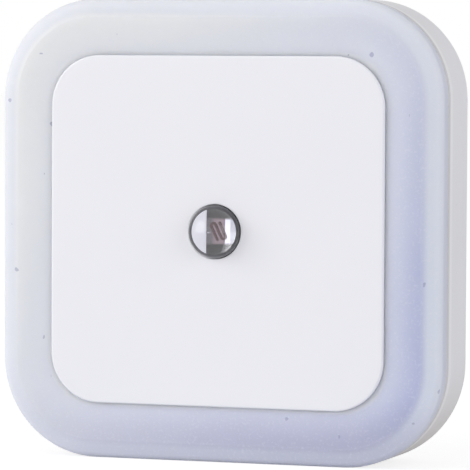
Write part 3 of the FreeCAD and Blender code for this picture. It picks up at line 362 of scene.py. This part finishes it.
# Painted highlight: a lighter band along the panel's outline.
painted_edge_highlight = (1.0 - white.step(edge_inset, 0.0001, 0.0005)) * 0.6
body_white = white.mix(haze, colour(243, 243, 247), colour(240, 240, 246))
dusty = white.mix(white.step(dust, 0.70, 0.80) * 0.10, body_white, colour(214, 214, 222))
white.set(Base_Color=white.mix(painted_edge_highlight, dusty, colour(243, 244, 250)))
white.set(Roughness=0.33 + haze * 0.08)
white.bump(satin, 0.000012, 0.35)
PANEL_EDGE = 0.3
LENS_HOLE = 3.84
HOLE_BREAK = 0.12


def panel_loop(inset, reach):
    """The panel's rounded square, drawn in by an inset."""
    return square_loop(PANEL_HALF - inset, PANEL_CORNER - inset, reach)


lean = np.linspace(0, np.pi / 2, 8)
edge_loops = [
    panel_loop(PANEL_EDGE * (1 - math.sin(angle)), PANEL_FACE - PANEL_EDGE * (1 - math.cos(angle)))
    for angle in lean
]
rim_front = disc_loop(LENS_HOLE + HOLE_BREAK, PANEL_FACE)
panel_front = spread(rim_front, edge_loops[0], count=24)
panel_back = spread(panel_loop(0, PANEL_REAR), disc_loop(LENS_HOLE, PANEL_REAR), count=6)
hole_wall = [disc_loop(LENS_HOLE, PANEL_REAR), disc_loop(LENS_HOLE, PANEL_FACE - HOLE_BREAK)]
panel = wrap("front_panel_plate", panel_front + edge_loops + panel_back + hole_wall, white)
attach(panel, "root")
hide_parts("front_panel")


# Sensor lens: a solid dome of clear polished acrylic on a thin flange, held behind the panel, with
# a shallow well in its back for the photocell, which it magnifies. A matt dark coat on its back,
# beyond a radius, is painted shade that makes the dome's dark rim.
clear = Surface("clear_acrylic", Roughness=0.02, IOR=1.49, Transmission_Weight=1.0)
clear.set(Base_Color=colour(246, 246, 248))
DOME_RADIUS = 3.74
DOME_CENTRE = -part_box("sensor_lens")[0].y / MM - DOME_RADIUS
WELL_RADIUS = 2.94
WELL_TOP = PANEL_FACE - 0.6
RIM_SHADE_RADIUS, RIM_SHADE_FADE = 2.2, 0.04
LENS_STEPS, ARC_STEPS = 96, 48
swirl = clear.noise(0.0022, 1.0)
clear.bump(swirl, 0.00002, 0.4)
part_x, part_y, part_z = clear.parts()
off_axis = (part_x * part_x + part_z * part_z).math("SQRT")
# Painted shade: the matt dark coat behind the well's top, beyond the rim-shade radius.
sunk = 1.0 - clear.step(part_y * -1.0, (WELL_TOP + 0.005) * MM, (WELL_TOP + 0.02) * MM)
rim_shade_tone = clear.mix(clear.noise(0.0005), colour(40, 41, 50), colour(20, 20, 26))
rim_shade_coat = clear.node("ShaderNodeBsdfPrincipled", inputs={"Base Color": rim_shade_tone, "Roughness": 0.6})
clear.overlay(sunk * clear.step(off_axis, (RIM_SHADE_RADIUS - RIM_SHADE_FADE) * MM, RIM_SHADE_RADIUS * MM), rim_shade_coat)
FLANGE_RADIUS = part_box("sensor_lens")[1].x / MM
FLANGE_REAR = -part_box("sensor_lens")[1].y / MM
POLE = 0.02
rise = np.linspace(0, np.pi / 2 - POLE, ARC_STEPS)


def revolve(name, profile, surface):
    """Turns a closed profile of (radius, reach) about the lamp's axis."""
    turn = np.linspace(0, 2 * np.pi, LENS_STEPS, endpoint=False)
    radius, reach = profile[:, 0][:, None], profile[:, 1][:, None]
    grid = np.stack([radius * np.cos(turn), -reach + 0 * turn, radius * np.sin(turn)], -1) * MM
    return wrap(name, list(grid), surface)


outer_arc = np.stack([np.cos(rise), np.sin(rise)], 1) * DOME_RADIUS + [0, DOME_CENTRE]
well = [(POLE, WELL_TOP), (WELL_RADIUS, WELL_TOP), (WELL_RADIUS, FLANGE_REAR)]
flange = [(FLANGE_RADIUS, FLANGE_REAR), (FLANGE_RADIUS, PANEL_REAR), (DOME_RADIUS, PANEL_REAR)]
lens = revolve("sensor_dome", np.concatenate([outer_arc, well, flange]), clear)
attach(lens, "root")
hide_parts("sensor_lens")


# Rear housing: a tray of off-white plastic with a fine spark-eroded grain outside, and screw posts,
# ribs and the blades' seat inside. It closes on the diffuser's skirt with four snap beads. A painted
# highlight makes its lip paler at the seam, and painted shade darkens the seam and its foot.
def smooth_copy(name, node, surface):
    """A copy of a CAD node with its triangles merged, so that its rounds are shaded smoothly."""
    source = nodes[node].data
    count = len(source.vertices)
    points = np.zeros(count * 3)
    source.vertices.foreach_get("co", points)
    corners = np.zeros(len(source.polygons) * 3, int)
    source.polygons.foreach_get("vertices", corners)
    steps_per_metre = 1e7
    grid = np.round(points.reshape(-1, 3) * steps_per_metre)
    _, first, where = np.unique(grid, axis=0, return_index=True, return_inverse=True)
    faces = where.reshape(-1)[corners].reshape(-1, 3)
    proper = (faces[:, 0] != faces[:, 1]) & (faces[:, 1] != faces[:, 2]) & (faces[:, 0] != faces[:, 2])
    made = place_mesh(name, points.reshape(-1, 3)[first], faces[proper], surface)
    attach(made, "root")
    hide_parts(node)


FOOT_SHADE_EDGES = (17 * MM, 31 * MM)
PAINTED_HIGHLIGHT_EDGES = ((SEAM - 2.2) * MM, (SEAM - 1.4) * MM)
SHADE_EDGES = ((SEAM - 0.9) * MM, (SEAM - 0.4) * MM)
shell = Surface("off_white_plastic", Roughness=0.55, IOR=1.5)
warmth = shell.noise(0.012, 3.0)
grain = shell.noise(0.0003, 2.0)
# Painted shade: the foot goes darker and warmer toward the bottom.
painted_foot_shade = shell.step(shell.parts()[2] * -1.0, *FOOT_SHADE_EDGES) * 0.7
scuffs = shell.step(shell.noise(0.0011, 4.0, (1, 0.3, 1)), 0.66, 0.78)
plain = shell.mix(warmth, colour(236, 236, 240), colour(231, 231, 236))
plain = shell.mix(painted_foot_shade, plain, colour(208, 202, 198))
forward = shell.parts()[1] * -1.0
# Painted highlight: a paler band just behind the seam.
painted_lip_highlight = shell.step(forward, *PAINTED_HIGHLIGHT_EDGES) * 0.5
plain = shell.mix(painted_lip_highlight, plain, colour(250, 250, 252))
seam_shade = shell.step(forward, *SHADE_EDGES) * 0.8
plain = shell.mix(seam_shade, plain, colour(204, 202, 206))
shell.set(Base_Color=shell.mix(scuffs * 0.12, plain, colour(196, 194, 194)))
shell.set(Roughness=0.5 + grain * 0.12)
shell.bump(grain, 0.00003, 0.5)
smooth_copy("rear_housing_tray", "rear_housing", shell)


# Plug blades: strips stamped from brass and nickel plated, with the fine lines of the rolling mill
# along them and patches of rubbed plating.
plated = Surface("plated_brass", Metallic=1.0, Roughness=0.28)
lines = plated.noise(0.00025, 3.0, (1, 0.03, 1))
rubbing = plated.step(plated.noise(0.002, 4.0, (1, 0.2, 1)), 0.5, 0.75)
plated.set(Base_Color=plated.mix(rubbing * 0.45, colour(208, 206, 200), colour(205, 186, 142)))
plated.set(Roughness=0.22 + lines * 0.2)
plated.bump(lines, 0.000006, 0.6)
for side in ("left", "right"):
    smooth_copy(f"blade_{side}", f"plug_blade_{side}", plated)


# Photocell: a pressed ceramic disc under clear resin, pinkish grey, with the dark mauve sensing track
# run to and fro over its middle, ends darkened by painted shade and a white electrode strip. The strip
# glows faintly, in place of the light that the dome gathers on it.
GREY_EDGES = (-0.7 * MM, -0.3 * MM)
END_SHADE_EDGES = (0.9 * MM, 1.2 * MM)
STRIP_EDGES = (0.55 * MM, 0.6 * MM)
ceramic = Surface("photocell_ceramic", Roughness=0.3, Coat_Weight=0.6, Coat_Roughness=0.08)
blush = ceramic.noise(0.0012, 3.0)
crystals = ceramic.noise(0.00012, 2.0)
part_x, _, part_z = ceramic.parts()
face = ceramic.mix(ceramic.step(part_x, *GREY_EDGES), colour(120, 116, 122), colour(176, 150, 160))
face = ceramic.mix(blush * 0.3, face, colour(110, 100, 108))
# Painted shade: the disc's ends go nearly black.
painted_shade_ends = ceramic.step(part_z.math("ABSOLUTE"), *END_SHADE_EDGES)
face = ceramic.mix(painted_shade_ends, face, colour(16, 15, 18))
electrode = ceramic.step(part_x, *STRIP_EDGES) * (1.0 - painted_shade_ends)
ceramic.set(Base_Color=ceramic.mix(electrode, face, colour(244, 244, 252)))
ceramic.set(Emission_Color=ceramic.mix(electrode, colour(0, 0, 0), colour(222, 224, 240)))
ceramic.set(Emission_Strength=0.5)
ceramic.bump(crystals, 0.00001, 0.5)
smooth_copy("photocell_disc", "photocell_body", ceramic)
film = Surface("sensing_film", Roughness=0.35, Coat_Weight=0.5)
film_tone = film.noise(0.0004, 2.0)
film.set(Base_Color=film.mix(film_tone, colour(70, 34, 46), colour(98, 52, 60)))
smooth_copy("photocell_strip", "photocell_track", film)


# Light sleeve: a tube of white plastic that keeps the lamp's own light off the photocell, with painted
# shade dark above and below it. Its floor shows through the dome as bright patches beside the cell,
# with a faint glow in place of the light that the dome gathers there.
DARK_EDGES = (0.9 * MM, 1.1 * MM)
tube = Surface("sleeve_plastic", Roughness=0.4)
tube_grain = tube.noise(0.0004, 2.0)
# Painted shade: the sleeve is near black above and below the cell.
shade = tube.step(tube.parts()[2].math("ABSOLUTE"), *DARK_EDGES)
bright = tube.mix(tube_grain, colour(244, 244, 252), colour(230, 231, 242))
tube.set(Base_Color=tube.mix(shade, bright, colour(18, 18, 24)))
tube.set(Emission_Color=tube.mix(shade, bright, colour(0, 0, 0)))
tube.set(Emission_Strength=0.75)
tube.bump(tube_grain, 0.00001, 0.5)
smooth_copy("sleeve_tube", "light_sleeve", tube)


# The pieces inside, which show only when the lamp is opened: each has the finish of its own stuff,
# as two colours that a grain mixes, a roughness, a share of metal and the depth of its grain.
def inner_finish(name, first, second, roughness, metallic, grain_size, depth):
    """A finish of two colours mixed by one grain, which also roughens and raises the surface."""
    surface = Surface(name, Metallic=metallic)
    fine = surface.noise(grain_size, 3.0)
    surface.set(Base_Color=surface.mix(fine, colour(*first), colour(*second)))
    surface.set(Roughness=roughness + fine * 0.12)
    surface.bump(fine, depth, 0.5)
    return surface.material


tinned = inner_finish("tinned_wire", (196, 197, 198), (170, 171, 174), 0.25, 1.0, 0.0006, 0.000008)
finishes = {
    "board": inner_finish("board_laminate", (42, 104, 62), (34, 88, 52), 0.35, 0.0, 0.0009, 0.00001),
    "led": inner_finish("led_package", (238, 236, 230), (226, 224, 218), 0.35, 0.0, 0.0004, 0.000005),
    "phosphor": inner_finish("phosphor_gel", (232, 206, 88), (222, 190, 66), 0.3, 0.0, 0.0003, 0.000005),
    "clamp": inner_finish("clamp_plastic", (222, 222, 222), (210, 210, 211), 0.5, 0.0, 0.0004, 0.00001),
    "screw": inner_finish("zinc_plate", (190, 192, 196), (168, 170, 172), 0.3, 1.0, 0.0005, 0.00001),
    "film_box": inner_finish("film_box", (190, 148, 30), (178, 136, 26), 0.3, 0.0, 0.0008, 0.00001),
    "can": inner_finish("aluminium_can", (196, 197, 200), (184, 185, 189), 0.3, 1.0, 0.0006, 0.000008),
    "bung": inner_finish("rubber_bung", (34, 34, 35), (44, 44, 45), 0.7, 0.0, 0.0004, 0.00002),
    "resistor": inner_finish("resistor_lacquer", (150, 178, 160), (138, 166, 148), 0.4, 0.0, 0.0006, 0.00002),
    "chip": inner_finish("chip_resin", (36, 36, 38), (46, 46, 48), 0.5, 0.0, 0.0003, 0.00001),
    "wire": inner_finish("wire_insulation", (214, 214, 214), (202, 202, 203), 0.45, 0.0, 0.0007, 0.00001),
    "solder": inner_finish("solder", (200, 202, 205), (182, 184, 188), 0.2, 1.0, 0.0008, 0.00001),
    "lead": tinned,
}
for part in frame["record"]["subparts"]:
    if part["material_slot"] in finishes:
        slots = nodes[part["node"]].data.materials
        slots.clear()
        slots.append(finishes[part["material_slot"]])


# Studio: a pale floor and a white world that the camera and the lens see as plain white, soft light
# from the upper left, and a weaker fill, so that the right side and the bottom fall into grey.
studio = Surface("studio_white", Roughness=1.0, Specular_IOR_Level=0.0)
studio.set(Base_Color=colour(238, 238, 240))
WHITE_GLOW, SEEN_SHARE = 1.3, 0.6
glow = studio.node("ShaderNodeEmission", inputs={"Strength": WHITE_GLOW})
RAY_KINDS = ("Is Camera Ray", "Is Glossy Ray", "Is Transmission Ray")
camera_ray, glossy_ray, glass_ray = (studio.node("ShaderNodeLightPath", output=kind) for kind in RAY_KINDS)
seen_ray = camera_ray.math("MAXIMUM", glossy_ray).math("MAXIMUM", glass_ray)
studio.overlay(seen_ray * SEEN_SHARE, glow)
plane = bpy.data.meshes.new("floor")
FLOOR_REACH = 4.0
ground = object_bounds()[0].z
corners = [(x * FLOOR_REACH, y * FLOOR_REACH, ground) for x, y in ((-1, -1), (1, -1), (1, 1), (-1, 1))]
plane.from_pydata(corners, [], [(0, 1, 2, 3)])
floor = bpy.data.objects.new("floor", plane)
plane.materials.append(studio.material)
bpy.context.scene.collection.objects.link(floor)

# The world is white to the camera and through the lens, and dimmer as light on the lamp.
world = bpy.data.worlds.new("studio")
bpy.context.scene.world = world
world.use_nodes = True
sky = world.node_tree
path = sky.nodes.new("ShaderNodeLightPath")
seen = sky.nodes.new("ShaderNodeMath")
seen.operation = "MAXIMUM"
through = sky.nodes.new("ShaderNodeMath")
through.operation = "MAXIMUM"
sky.links.new(path.outputs["Is Glossy Ray"], through.inputs[0])
sky.links.new(path.outputs["Is Transmission Ray"], through.inputs[1])
sky.links.new(path.outputs["Is Camera Ray"], seen.inputs[0])
sky.links.new(through.outputs[0], seen.inputs[1])
strength = sky.nodes.new("ShaderNodeMapRange")
AMBIENT = 0.55
strength.inputs["To Min"].default_value = AMBIENT
sky.links.new(seen.outputs[0], strength.inputs["Value"])
sky.nodes["Background"].inputs["Color"].default_value = colour(255, 255, 255)
sky.links.new(strength.outputs[0], sky.nodes["Background"].inputs["Strength"])


def soft_box(name, place, size, watts):
    """A square white light at a place, turned to the lamp."""
    light = bpy.data.lights.new(name, "AREA")
    light.shape = "SQUARE"
    light.size = size
    light.energy = watts
    lamp = bpy.data.objects.new(name, light)
    lamp.location = place
    lamp.rotation_euler = (-Vector(place)).to_track_quat("-Z", "Y").to_euler()
    bpy.context.scene.collection.objects.link(lamp)


soft_box("key_box", (-1.25, -0.95, 0.45), size=1.3, watts=14.3)
soft_box("fill_box", (1.2, -0.7, 0.3), size=0.9, watts=4.5)

# Camera: where the photograph was taken from, a little to the right and above, with a long lens.
YAW, PITCH, ROLL = (math.radians(angle) for angle in (19.356, 2.779, 0.262))
DISTANCE = 0.51646
FOCAL_PIXELS, PHOTO_PIXELS, SENSOR = 3697.56, 470, 36.0
SHIFT_RIGHT, SHIFT_UP = 18.95, -3.45
back = Vector((math.sin(YAW) * math.cos(PITCH), -math.cos(YAW) * math.cos(PITCH), math.sin(PITCH)))
level = Vector((math.cos(YAW), math.sin(YAW), 0))
upright = back.cross(level)
right = level * math.cos(ROLL) + upright * math.sin(ROLL)
up = upright * math.cos(ROLL) - level * math.sin(ROLL)
eye = Vector((0, -RING_FACE * MM, 0)) + back * DISTANCE
lens_data = bpy.data.cameras.new("camera")
lens_data.sensor_width = SENSOR
lens_data.lens = FOCAL_PIXELS / PHOTO_PIXELS * SENSOR
lens_data.shift_x = SHIFT_RIGHT / PHOTO_PIXELS
lens_data.shift_y = SHIFT_UP / PHOTO_PIXELS
lens_data.clip_start = 0.01
camera = bpy.data.objects.new("camera", lens_data)
camera.matrix_world = Matrix((right, up, back)).transposed().to_4x4()
camera.location = eye
bpy.context.scene.collection.objects.link(camera)
bpy.context.scene.camera = camera
bpy.context.scene.view_settings.view_transform = "Standard"
